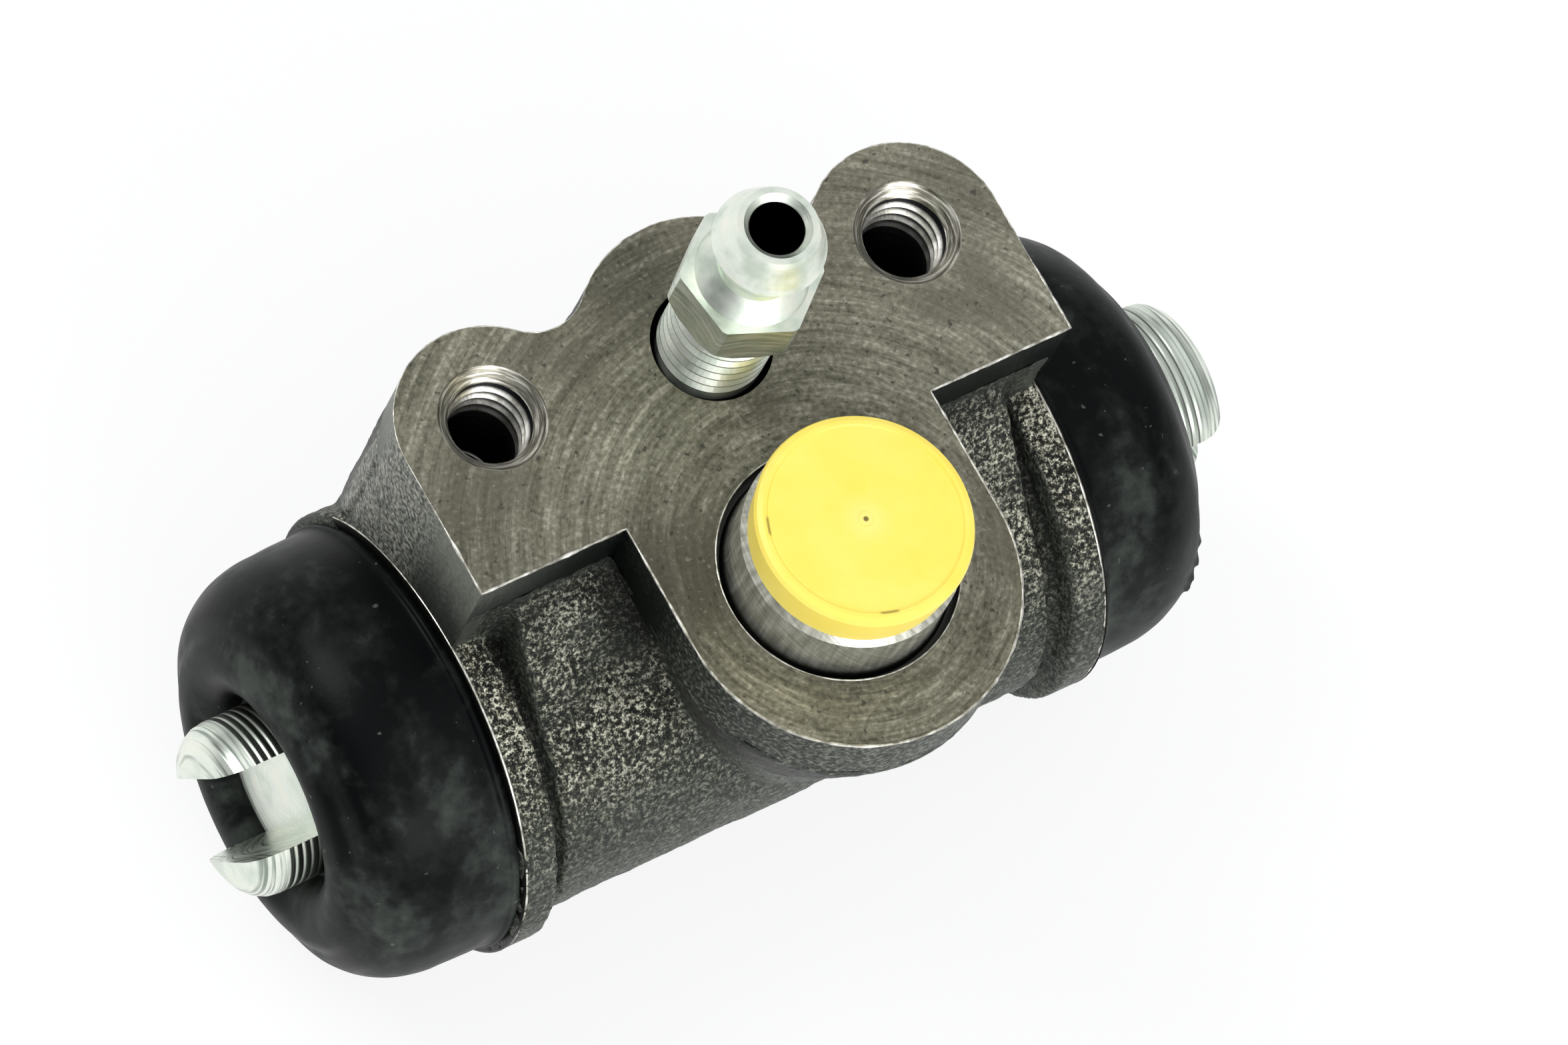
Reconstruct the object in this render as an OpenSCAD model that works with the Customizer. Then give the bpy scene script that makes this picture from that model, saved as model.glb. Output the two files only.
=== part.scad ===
// Drum-brake wheel cylinder with two opposed pistons, lying with its mounting face up.
// The origin is on the inlet spigot's axis in the mounting face: X runs along the bore,
// Y runs in the face from the inlet towards the bleed screw, Z leaves the face.

/* [Bore and barrel] */
// Diameter of the bore
bore_d = 17.46; // [14:0.01:19]
// Depth of the bore axis below the mounting face
axis_drop = 23.7; // [22:0.1:28]
// Distance of the bore axis from the inlet axis, along Y
axis_rise = 7.6; // [7:0.1:7.7]
// Outer diameter of the cast barrel
barrel_d = 27.2; // [26:0.1:28]
// Length of the casting between its two end faces
body_len = 42.8; // [42:0.1:48]
// Diameter of the rim at each end of the casting
rim_d = 29.6; // [28.6:0.1:30]
// Width of each rim along the bore
rim_w = 2.4; // [1.5:0.1:3.5]
// Width of the cast groove behind each rim
rim_gap = 1.2; // [0.8:0.1:2]
// Diameter at the bottom of that groove
rim_groove_d = 25.2; // [24.6:0.1:25.8]
// Chamfer at each mouth of the bore
bore_chamfer = 0.6; // [0.3:0.1:1]

/* [Boot seats on the casting] */
// Diameter of the turned neck that carries a boot
neck_d = 22; // [21:0.1:23]
// Length of a neck beyond the rim's face
neck_len = 3.6; // [3.4:0.1:4.5]
// Diameter at the bottom of the neck's groove
neck_groove_d = 20.4; // [20:0.1:20.8]
// Width of the neck's groove
neck_groove_w = 1.8; // [1:0.1:2]
// Distance of that groove from the rim's face
neck_groove_pos = 0.9; // [0.6:0.1:1.2]

/* [Mounting face] */
// Thickness of the smooth-edged slab behind the face
slab_t = 5; // [4:0.1:7]
// Distance between the two mounting bolts
bolt_spacing = 30; // [28:0.1:33]
// Distance of the bolts from the inlet axis, along Y
bolt_rise = 17.3; // [16.5:0.1:19]
// Radius of the lobe round each bolt
lobe_r = 6.3; // [5:0.1:6.4]
// Distance of a lobe's centre below its bolt
lobe_drop = 0.25; // [0:0.05:1]
// Radius of the middle lobe round the bleed screw
bleed_lobe_r = 8.4; // [6.5:0.1:9]
// Radius of the hollow blend between neighbouring lobes
lobe_blend_r = 3.6; // [2.5:0.1:5]
// Y of the ears' straight lower edge
ear_low = 7.5; // [6:0.1:9]
// Radius of the round inlet boss
boss_r = 11; // [10:0.1:12]
// Distance of the boss's centre below the inlet axis
boss_drop = 1.1; // [0:0.1:2]
// Depth at which the back of the ears starts to slope in to the barrel
ear_skirt = 8; // [6:0.1:11]

/* [Mounting bolt holes] */
// Pitch diameter of the bolt holes' thread
bolt_thread_d = 5.35; // [4.4:0.05:6]
// Diameter of the countersunk mouth of a bolt hole
bolt_mouth_d = 6.96; // [6.5:0.01:8]
// Depth of the bolt holes to the end of their wall
bolt_depth = 12; // [8:0.1:13]

/* [Inlet] */
// Diameter of the locating spigot
spigot_d = 14; // [13:0.1:15]
// Height of the spigot above the face
spigot_h = 4; // [3:0.1:6]
// Chamfer on the spigot's rim
spigot_chamfer = 0.4; // [0.2:0.1:0.6]
// Outer diameter of the relief groove round the spigot
relief_d = 15.4; // [15.2:0.1:17]
// Depth of the relief groove
relief_depth = 1; // [0.5:0.1:1.5]
// Flare of the spigot's root inside the relief groove
relief_root = 0.3; // [0.1:0.05:0.4]
// Pitch diameter of the pipe thread in the inlet
port_d = 9.35; // [8:0.05:9.8]
// Diameter of the plain counterbore at the inlet's mouth
port_mouth_d = 10.4; // [10.2:0.1:11]
// Depth of that counterbore
port_lead = 2.8; // [2.4:0.1:3.4]
// Depth of the inlet from the spigot's top to the end of its wall
port_depth = 11; // [9:0.1:12]
// Diameter of the feed hole from the inlet to the bore
feed_d = 2; // [1.6:0.1:2.2]

/* [Bleed screw] */
// Distance of the bleed screw from the inlet axis, along Y
bleed_rise = 16; // [15.8:0.1:17]
// Pitch diameter of the bleed thread
bleed_thread_d = 6.35; // [5.5:0.05:6.4]
// Radial clearance of the bleed thread
bleed_clear = 0.03; // [0.02:0.01:0.08]
// Diameter of the counterbore at the bleed hole's mouth
bleed_mouth_d = 7.8; // [7:0.1:8.2]
// Depth of that counterbore
bleed_lead = 2; // [1:0.1:3]
// Depth of the bleed thread's wall
bleed_depth = 12.5; // [10:0.1:13]
// Diameter of the passage from the bleed seat to the bore
bleed_feed_d = 2.5; // [2:0.1:3]
// Width across the flats of the hexagon
hex_af = 8; // [7:0.1:9]
// Height of the hexagon's underside above the face
hex_z = 7.1; // [4:0.1:9]
// Height of the hexagon
hex_h = 3.9; // [3:0.1:5]
// Turn of the hexagon about its axis
hex_turn = 38.5; // [0:0.5:60]
// Diameter of the nipple's waist
waist_d = 5; // [4.6:0.1:5.4]
// Largest diameter of the nipple's bulb
bulb_d = 7.2; // [6.6:0.1:7.4]
// Height of the nipple above the hexagon
nipple_h = 7.1; // [6:0.1:9]
// Diameter of the nipple's flat tip
nipple_tip_d = 5.1; // [4.4:0.1:5.4]
// Diameter of the hole down the bleed screw
nipple_bore_d = 3.5; // [2:0.1:3.6]
// Diameter of the cross hole near the bleed screw's point
cross_hole_d = 1.6; // [1:0.1:2]

/* [Pistons] */
// Radial clearance of a piston in the bore
piston_clear = 0.03; // [0.02:0.01:0.08]
// Distance of a piston's inner end from the middle of the bore
piston_start = 8; // [7.6:0.1:8.2]
// Distance by which the loose pistons stand to the right of the middle
piston_shift = 0.9; // [0:0.1:1]
// Length of the piston's guiding skirt
skirt_len = 12; // [10:0.1:13]
// Distance of the cup groove from the piston's inner end
cup_groove_pos = 2; // [1.5:0.1:3]
// Width of the cup groove
cup_groove_w = 3; // [2.5:0.1:4]
// Diameter at the bottom of the cup groove
cup_groove_d = 12.6; // [12.4:0.1:13]
// Diameter of the piston's nose
nose_d = 11.6; // [10.8:0.1:12]
// Length of a whole piston
piston_len = 28; // [27.6:0.1:28.2]
// Length of the nose's rounded end
tip_len = 2.1; // [1.5:0.1:3]
// Loss of radius over the rounded end
tip_drop = 2; // [1:0.1:2.6]
// Width of the slot that takes the brake shoe's web
slot_w = 5.6; // [5:0.1:6]
// Depth of that slot from the tip
slot_depth = 4.8; // [4.6:0.1:6]
// Turn of the left piston's slot out of the plane of the mounting face
left_slot_turn = 67; // [0:1:90]
// Diameter at the bottom of the groove that holds the boot's lip
lip_groove_d = 10.2; // [9.6:0.1:10.4]
// Width of that groove
lip_groove_w = 2.2; // [2:0.1:2.4]
// Distance of that groove from the slot's floor
lip_groove_back = 0.8; // [0.6:0.1:1.2]

/* [Seals and spring] */
// Clearance of the rubber pieces in their seats
rubber_gap = 0.05; // [0.03:0.01:0.1]
// Depth of the spring's seat in a piston
spring_seat = 1.5; // [1:0.1:2]
// Wire diameter of the return spring
wire_d = 0.9; // [0.6:0.1:1.2]
// Outer diameter of the return spring
spring_d = 10.6; // [9:0.1:11]
// Turns of the return spring, with its two closed ends
spring_turns = 7; // [5:1:9]

/* [Boots] */
// Largest diameter of a boot
boot_d = 28; // [27.8:0.1:29.4]
// Diameter of the boot where it meets the rim
boot_lip_d = 28.6; // [27.8:0.1:29.2]
// Length of a boot from the rim's face to its crest
boot_len = 10.4; // [10.3:0.1:11.2]
// Radius of the boot's round shoulder
shoulder_r = 5.6; // [5.2:0.1:5.8]
// Radius of the roll between the crest and the lip
roll_r = 2.3; // [2:0.1:2.4]
// Thickness of the boot's wall
boot_wall = 1.6; // [1:0.1:1.8]

/* [Port plug] */
// Diameter of the plug's flange
plug_d = 13.8; // [12:0.1:13.8]
// Thickness of the plug's flange
plug_t = 3.2; // [2:0.1:4]
// Draft of the flange's wall towards the spigot
plug_draft = 0.25; // [0.1:0.05:0.4]
// Radial clearance of the plug's stem in the inlet's counterbore
plug_clear = 0.05; // [0.03:0.01:0.1]
// Length of the plug's stem
plug_stem = 1.8; // [1.4:0.1:2.2]
// Wall of the hollow stem
plug_wall = 1.1; // [0.8:0.1:1.6]
// Width of the raised border on the plug's top
plug_border = 0.7; // [0.6:0.1:1.6]
// Depth of the dished top inside its border
plug_dish = 0.1; // [0.05:0.05:0.4]
// Diameter of the moulding pip in the middle of the top
pip_d = 0.9; // [0.6:0.1:1.4]

/* [Hidden] */
$fn = 96;

// Point angle and flat chisel edge of a drill
drill_point = 118;
drill_web = 0.6;
overcut = 1;
bore_r = bore_d / 2;
barrel_r = barrel_d / 2;
half_len = body_len / 2;
bolt_x = bolt_spacing / 2;
ear_x = bolt_x + lobe_r;
lobe_rise = bolt_rise - lobe_drop;
axis_at = [axis_rise, -axis_drop];
ear_back = max(lobe_rise + lobe_r, bleed_rise + bleed_lobe_r);
// Sloping walls of the casting run this far into the barrel
sink = 0.5;
blend_r = barrel_r - sink;
ear_blend_r = rim_groove_d / 2 - sink;
// The inlet boss narrows to a foot that ends inside the side of the barrel
boss_foot_r = blend_r - axis_rise - boss_drop;

bleed_hole_r = bleed_thread_d / 2 + bleed_clear;
bleed_seat_h = bleed_hole_r - bleed_feed_d / 2;
hex_corner_d = hex_af / cos(30);
hex_top = hex_z + hex_h;
nipple_top = hex_top + nipple_h;
// Heights of the bulb and the waist as parts of the nipple's height
bulb_part = 0.66;
waist_part = 0.19;
bulb_z = hex_top + nipple_h * bulb_part;
waist_z = hex_top + nipple_h * waist_part;

piston_r = bore_r - piston_clear;
nose_r = nose_d / 2;
tip_steps = 5;
piston_tip = piston_start + piston_len;
slot_floor = piston_tip - slot_depth;
lip_groove_end = slot_floor - lip_groove_back;
lip_groove_start = lip_groove_end - lip_groove_w;
cup_start = piston_start + cup_groove_pos;
cup_end = cup_start + cup_groove_w;

crest_s = half_len + boot_len;
shoulder_s = crest_s - shoulder_r;
roll_s = crest_s - roll_r;
crest_r = boot_d / 2 - shoulder_r;
neck_end = half_len + neck_len;
neck_groove_start = half_len + neck_groove_pos;

spring_half = piston_start + spring_seat - rubber_gap;

// Point where a line from p touches a circle, on the side that turn gives
function tangent_point(p, centre, r, turn) =
    let (v = p - centre, a = atan2(v[1], v[0]) + turn * acos(r / norm(v)))
    centre + r * [cos(a), sin(a)];

// Centre of the circle that touches two other circles from outside, on their left
function blend_centre(a, ra, b, rb, r) =
    let (d = norm(b - a), u = (b - a) / d, along = ((ra + r) ^ 2 - (rb + r) ^ 2 + d ^ 2) / (2 * d))
    a + along * u + sqrt((ra + r) ^ 2 - along ^ 2) * [-u[1], u[0]];

// Outline of the mounting face

module lobe_blend() {
    lobe_at = [bolt_x, lobe_rise];
    middle_at = [0, bleed_rise];
    blend_at = blend_centre(middle_at, bleed_lobe_r, lobe_at, lobe_r, lobe_blend_r);
    difference() {
        polygon([lobe_at, middle_at, blend_at]);
        translate(blend_at) circle(r = lobe_blend_r);
    }
}

module ears_outline() {
    translate([-ear_x, ear_low]) square([2 * ear_x, lobe_rise - ear_low]);
    translate([0, bleed_rise]) circle(r = bleed_lobe_r);
    for (side = [0, 1]) mirror([side, 0]) {
        translate([bolt_x, lobe_rise]) circle(r = lobe_r);
        lobe_blend();
    }
}

module face_outline() {
    ears_outline();
    translate([0, -boss_drop]) circle(r = boss_r);
    translate([-boss_r, -boss_drop]) square([2 * boss_r, boss_drop + bolt_rise]);
}

// A profile in the YZ plane, carried along X about the middle

module along_bore(length) {
    rotate([90, 0, 90]) linear_extrude(length, center = true) children();
}

// Turns a revolved piece, drawn with its axis on Z, onto the bore axis at one end

module at_end(side) {
    translate([0, axis_rise, -axis_drop])
        mirror([side < 0 ? 1 : 0, 0, 0])
            rotate([0, 90, 0]) children();
}

module drilled(d, depth) {
    point_h = (d - drill_web) / 2 / tan(drill_point / 2);
    translate([0, 0, -depth]) cylinder(d = d, h = depth + overcut);
    translate([0, 0, -depth - point_h]) cylinder(d1 = drill_web, d2 = d, h = point_h);
}

module countersink(d, mouth_d) {
    depth = (mouth_d - d) / 2;
    translate([0, 0, -depth]) cylinder(d1 = d, d2 = mouth_d, h = depth);
}

// Housing

module ear_columns() {
    back_edge = [ear_back, -ear_skirt];
    back_foot = tangent_point(back_edge, axis_at, ear_blend_r, -1);
    depth = axis_drop + barrel_r;
    intersection() {
        translate([0, 0, -depth]) linear_extrude(depth - slab_t) intersection() {
            ears_outline();
            translate([-ear_x, ear_low]) square([2 * ear_x, ear_back]);
        }
        along_bore(2 * ear_x)
            polygon([[ear_low, 0], [ear_back, 0], back_edge, back_foot, axis_at, [ear_low, -axis_drop]]);
    }
}

module saddle() {
    top = [ear_low, -slab_t];
    foot = tangent_point(top, axis_at, blend_r, 1);
    along_bore(body_len - 2 * (rim_w + rim_gap))
        polygon([top, foot, axis_at, [bolt_rise, -slab_t]]);
}

module boss_foot() {
    translate([0, -boss_drop, -axis_drop])
        cylinder(r1 = boss_foot_r, r2 = boss_r, h = axis_drop - slab_t);
}

module barrel() {
    for (side = [-1, 1]) at_end(side) {
        cylinder(r = barrel_r, h = half_len - rim_w - rim_gap);
        cylinder(d = rim_groove_d, h = half_len);
        translate([0, 0, half_len - rim_w]) cylinder(d = rim_d, h = rim_w);
        translate([0, 0, half_len]) difference() {
            cylinder(d = neck_d, h = neck_len);
            translate([0, 0, neck_groove_pos]) difference() {
                cylinder(d = neck_d + overcut, h = neck_groove_w);
                cylinder(d = neck_groove_d, h = neck_groove_w);
            }
        }
    }
}

module spigot() {
    straight = spigot_h - spigot_chamfer;
    cylinder(d = spigot_d, h = straight);
    translate([0, 0, straight])
        cylinder(d1 = spigot_d, d2 = spigot_d - 2 * spigot_chamfer, h = spigot_chamfer);
    translate([0, 0, -relief_depth])
        cylinder(d1 = spigot_d + 2 * relief_root, d2 = spigot_d, h = relief_depth);
}

module inlet_holes() {
    translate([0, 0, spigot_h]) {
        drilled(port_d, port_depth);
        translate([0, 0, -port_lead]) cylinder(d = port_mouth_d, h = port_lead + overcut);
    }
    translate([0, 0, -axis_drop]) cylinder(d = feed_d, h = axis_drop);
}

module bleed_holes() {
    translate([0, bleed_rise, 0]) {
        translate([0, 0, -bleed_depth]) cylinder(r = bleed_hole_r, h = bleed_depth + overcut);
        translate([0, 0, -bleed_lead]) cylinder(d = bleed_mouth_d, h = bleed_lead + overcut);
        translate([0, 0, -bleed_depth - bleed_seat_h])
            cylinder(d1 = bleed_feed_d, r2 = bleed_hole_r, h = bleed_seat_h);
        translate([0, 0, -axis_drop]) cylinder(d = bleed_feed_d, h = axis_drop - bleed_depth);
    }
}

module bolt_holes() {
    for (side = [-1, 1]) translate([side * bolt_x, bolt_rise, 0]) {
        drilled(bolt_thread_d, bolt_depth);
        countersink(bolt_thread_d, bolt_mouth_d);
    }
}

module bore() {
    for (side = [-1, 1]) at_end(side) {
        cylinder(r = bore_r, h = neck_end + overcut);
        translate([0, 0, neck_end - bore_chamfer])
            cylinder(r1 = bore_r, r2 = bore_r + bore_chamfer, h = bore_chamfer);
    }
}

module housing() {
    color("#5b5a52") difference() {
        union() {
            difference() {
                translate([0, 0, -slab_t]) linear_extrude(slab_t) face_outline();
                translate([0, 0, -relief_depth]) cylinder(d = relief_d, h = relief_depth + overcut);
            }
            ear_columns();
            saddle();
            boss_foot();
            barrel();
            spigot();
        }
        inlet_holes();
        bleed_holes();
        bolt_holes();
        bore();
    }
}

// Pistons

module piston_body() {
    edge = 0.5;
    tip = [
        for (i = [0 : tip_steps])
            let (a = 90 * i / tip_steps)
            [nose_r - tip_drop * (1 - cos(a)), piston_tip - tip_len * (1 - sin(a))]
    ];
    rotate_extrude() polygon(concat([
        [0, piston_start + spring_seat],
        [spring_d / 2 + edge, piston_start + spring_seat],
        [spring_d / 2 + edge, piston_start],
        [piston_r - edge, piston_start],
        [piston_r, piston_start + edge],
        [piston_r, cup_start],
        [cup_groove_d / 2, cup_start],
        [cup_groove_d / 2, cup_end],
        [piston_r, cup_end],
        [piston_r, piston_start + skirt_len - edge],
        [piston_r - edge, piston_start + skirt_len],
        [nose_r, piston_start + skirt_len],
        [nose_r, lip_groove_start],
        [lip_groove_d / 2, lip_groove_start],
        [lip_groove_d / 2, lip_groove_end],
        [nose_r, lip_groove_end]
    ], tip, [[0, piston_tip]]));
}

module piston(slot_turn) {
    color("#c9cbc2") difference() {
        piston_body();
        rotate([0, 0, slot_turn]) translate([-slot_w / 2, -nose_d, slot_floor])
            cube([slot_w, 2 * nose_d, slot_depth + overcut]);
    }
}

module shifted() { translate([piston_shift, 0, 0]) children(); }
module left_piston() { shifted() at_end(-1) piston(-left_slot_turn); }
module right_piston() { shifted() at_end(1) piston(0); }

// Cup seals, with their lips towards the fluid

module cup() {
    inner = cup_groove_d / 2 + rubber_gap;
    outer = bore_r - piston_clear;
    back = cup_end - rubber_gap;
    front = cup_start + rubber_gap;
    middle = (inner + outer) / 2;
    depth = 0.55 * (back - front);
    lip = 0.3 * (outer - inner);
    color("#26282a") rotate_extrude() polygon([
        [inner, back],
        [outer - rubber_gap, back],
        [outer, front + rubber_gap],
        [outer - lip / 2, front],
        [outer - lip, front],
        [middle, front + depth],
        [inner + lip, front],
        [inner, front]
    ]);
}

module left_cup() { shifted() at_end(-1) cup(); }
module right_cup() { shifted() at_end(1) cup(); }

// Return spring between the pistons, with closed ends

spring_sides = 8;
spring_steps = 20;
closed_pitch = 1.1 * wire_d;

function spring_place(turn) =
    let (reach = spring_half - wire_d / 2, last = spring_turns - 1, open = 2 * (reach - closed_pitch))
    turn < 1 ? turn * closed_pitch - reach
    : turn > last ? reach - (spring_turns - turn) * closed_pitch
    : closed_pitch - reach + open * (turn - 1) / (last - 1);

function spring_ring(turn) = [
    for (k = [0 : spring_sides - 1])
        let (a = 360 * k / spring_sides, r = (spring_d - wire_d) / 2 + wire_d / 2 * cos(a))
        [r * cos(360 * turn), r * sin(360 * turn), spring_place(turn) + wire_d / 2 * sin(a)]
];

module return_spring() {
    rings = spring_turns * spring_steps;
    points = [for (i = [0 : rings]) each spring_ring(i / spring_steps)];
    sides = [
        for (i = [0 : rings - 1], k = [0 : spring_sides - 1])
            let (a = i * spring_sides, b = a + spring_sides, n = (k + 1) % spring_sides)
            [a + k, b + k, b + n, a + n]
    ];
    first = [for (k = [0 : spring_sides - 1]) k];
    final = [for (k = [spring_sides - 1 : -1 : 0]) rings * spring_sides + k];
    color("#8f9496") shifted() at_end(1) polyhedron(points, concat([first], sides, [final]));
}

// Rubber boots

module quarter_ring(r, wall, turn) {
    intersection() {
        difference() {
            circle(r = r);
            circle(r = r - wall);
        }
        rotate([0, 0, turn]) square(r);
    }
}

module boot(lip_shift) {
    seat_r = neck_d / 2 + rubber_gap;
    bead_r = neck_groove_d / 2 + rubber_gap;
    lip_r = lip_groove_d / 2 + rubber_gap;
    lip_top = crest_r - roll_r + boot_wall;
    lip_start = lip_groove_start + lip_shift + rubber_gap;
    color("#1d1f20") rotate_extrude() {
        polygon([
            [seat_r, half_len],
            [boot_lip_d / 2, half_len],
            [boot_d / 2, shoulder_s],
            [seat_r, shoulder_s]
        ]);
        translate([bead_r, neck_groove_start + rubber_gap])
            square([seat_r - bead_r, neck_groove_w - 2 * rubber_gap]);
        translate([crest_r, shoulder_s]) quarter_ring(shoulder_r, boot_wall, 0);
        translate([crest_r, roll_s]) quarter_ring(roll_r, boot_wall, 90);
        translate([lip_r, lip_start]) square([lip_top - lip_r, lip_groove_w - 2 * rubber_gap]);
        translate([crest_r - roll_r, lip_start]) square([boot_wall, max(roll_s - lip_start, rubber_gap)]);
    }
}

module left_boot() { at_end(-1) boot(-piston_shift); }
module right_boot() { at_end(1) boot(piston_shift); }

// Bleed screw

module bleed_screw() {
    seat_gap = bleed_clear;
    thread_r = bleed_thread_d / 2;
    point_r = bleed_feed_d / 2;
    point_z = -bleed_depth - (thread_r - point_r) + seat_gap;
    round_r = 0.4;
    hex_foot_d = hex_af + round_r / 2;
    hex_round_d = hex_corner_d - round_r / 2;
    hex_edge = (hex_round_d - hex_af) / 2;
    bore_end = -bleed_depth + cross_hole_d;
    sink_w = (nipple_tip_d - nipple_bore_d) / 4;
    sink_d = nipple_bore_d + 2 * sink_w;
    color("#c4c8bd") translate([0, bleed_rise, 0]) difference() {
        union() {
            rotate_extrude() polygon([
                [0, point_z],
                [point_r, point_z],
                [thread_r, -bleed_depth + seat_gap],
                [thread_r, hex_top],
                [hex_af / 2 - round_r, hex_top],
                [waist_d / 2, waist_z],
                [waist_d / 2, waist_z + round_r],
                [bulb_d / 2 - round_r, bulb_z - round_r],
                [bulb_d / 2, bulb_z],
                [bulb_d / 2 - round_r / 2, bulb_z + round_r],
                [nipple_tip_d / 2 + round_r / 2, nipple_top - round_r],
                [nipple_tip_d / 2, nipple_top],
                [0, nipple_top]
            ]);
            translate([0, 0, hex_z]) rotate([0, 0, hex_turn]) intersection() {
                cylinder(d = hex_corner_d, h = hex_h, $fn = 6);
                union() {
                    cylinder(d1 = hex_foot_d, d2 = hex_round_d, h = hex_edge);
                    translate([0, 0, hex_edge]) cylinder(d = hex_round_d, h = hex_h - hex_edge);
                }
            }
        }
        translate([0, 0, bore_end]) cylinder(d = nipple_bore_d, h = nipple_top - bore_end + overcut);
        translate([0, 0, nipple_top - sink_w])
            cylinder(d1 = nipple_bore_d, d2 = sink_d + 2 * overcut, h = sink_w + overcut);
        translate([0, 0, bore_end]) rotate([90, 0, 0])
            cylinder(d = cross_hole_d, h = bleed_thread_d + overcut, center = true);
    }
}

// Plug that closes the inlet for transport

module port_plug() {
    stem_r = port_mouth_d / 2 - plug_clear;
    plug_r = plug_d / 2;
    top = spigot_h + plug_t;
    edge = 0.45;
    soft = edge * (1 - sin(45));
    bottom = spigot_h - plug_stem;
    dish = top - plug_dish;
    pip_top = dish + plug_dish / 2;
    color("#f2e06a") rotate_extrude() polygon([
        [0, pip_top],
        [pip_d / 2, pip_top],
        [pip_d / 2, dish],
        [plug_r - plug_border - plug_dish, dish],
        [plug_r - plug_border, top],
        [plug_r - edge, top],
        [plug_r - soft, top - soft],
        [plug_r, top - edge],
        [plug_r - plug_draft, spigot_h],
        [stem_r, spigot_h],
        [stem_r, bottom + edge],
        [stem_r - edge, bottom],
        [stem_r - plug_wall, bottom],
        [stem_r - plug_wall, spigot_h],
        [0, spigot_h]
    ]);
}

housing();
left_piston();
right_piston();
left_cup();
right_cup();
return_spring();
left_boot();
right_boot();
bleed_screw();
port_plug();
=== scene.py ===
import math

import bmesh
import bpy
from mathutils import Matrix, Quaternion, Vector, noise


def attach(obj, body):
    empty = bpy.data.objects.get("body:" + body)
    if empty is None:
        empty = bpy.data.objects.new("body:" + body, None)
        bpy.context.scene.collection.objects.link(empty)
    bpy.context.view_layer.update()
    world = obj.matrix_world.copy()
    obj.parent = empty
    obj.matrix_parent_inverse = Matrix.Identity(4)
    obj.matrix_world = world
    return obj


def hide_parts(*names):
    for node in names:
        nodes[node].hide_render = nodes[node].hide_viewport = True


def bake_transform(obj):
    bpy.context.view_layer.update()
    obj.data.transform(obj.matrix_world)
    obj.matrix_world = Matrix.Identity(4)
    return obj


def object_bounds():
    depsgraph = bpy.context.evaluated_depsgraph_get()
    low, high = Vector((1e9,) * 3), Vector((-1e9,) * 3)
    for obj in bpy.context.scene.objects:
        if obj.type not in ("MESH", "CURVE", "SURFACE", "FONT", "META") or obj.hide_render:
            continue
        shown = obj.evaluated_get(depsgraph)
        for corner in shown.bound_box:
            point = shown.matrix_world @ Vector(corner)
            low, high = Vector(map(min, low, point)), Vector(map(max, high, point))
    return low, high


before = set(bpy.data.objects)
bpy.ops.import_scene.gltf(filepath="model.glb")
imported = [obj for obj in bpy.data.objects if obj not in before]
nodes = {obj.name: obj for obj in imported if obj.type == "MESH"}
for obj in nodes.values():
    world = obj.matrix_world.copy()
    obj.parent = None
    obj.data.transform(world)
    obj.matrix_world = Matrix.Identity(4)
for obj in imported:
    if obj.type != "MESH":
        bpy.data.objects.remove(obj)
cad_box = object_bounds()

MM = 0.001

# Sizes that repeat the part's source, in millimetres
AXIS_Y, AXIS_Z = 7.6, -23.7
HALF_LEN, RIM_R, EAR_X = 21.4, 14.8, 21.3
PISTON_SHIFT, NOSE_R, CONE_S = 0.9, 5.8, 33.9
SLAB_T = 5.0
BOLTS = ((-15.0, 17.3), (15.0, 17.3))
BOLT_MOUTH_R = 3.48
BLEED_Y, BLEED_MOUTH_R, BLEED_R = 16.0, 3.9, 3.175
PORT_R, PORT_MOUTH_R, PORT_STEP_Z = 4.675, 5.2, 1.2
RELIEF_R = 7.7
GROOVE_X = 18.4
HEX_Z = 7.1
NIPPLE_R, NIPPLE_TOP = 1.75, 18.1
PLUG_TOP, PLUG_RING_R = 7.2, 6.15
CREST_S = 31.8


# Node helpers

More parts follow.
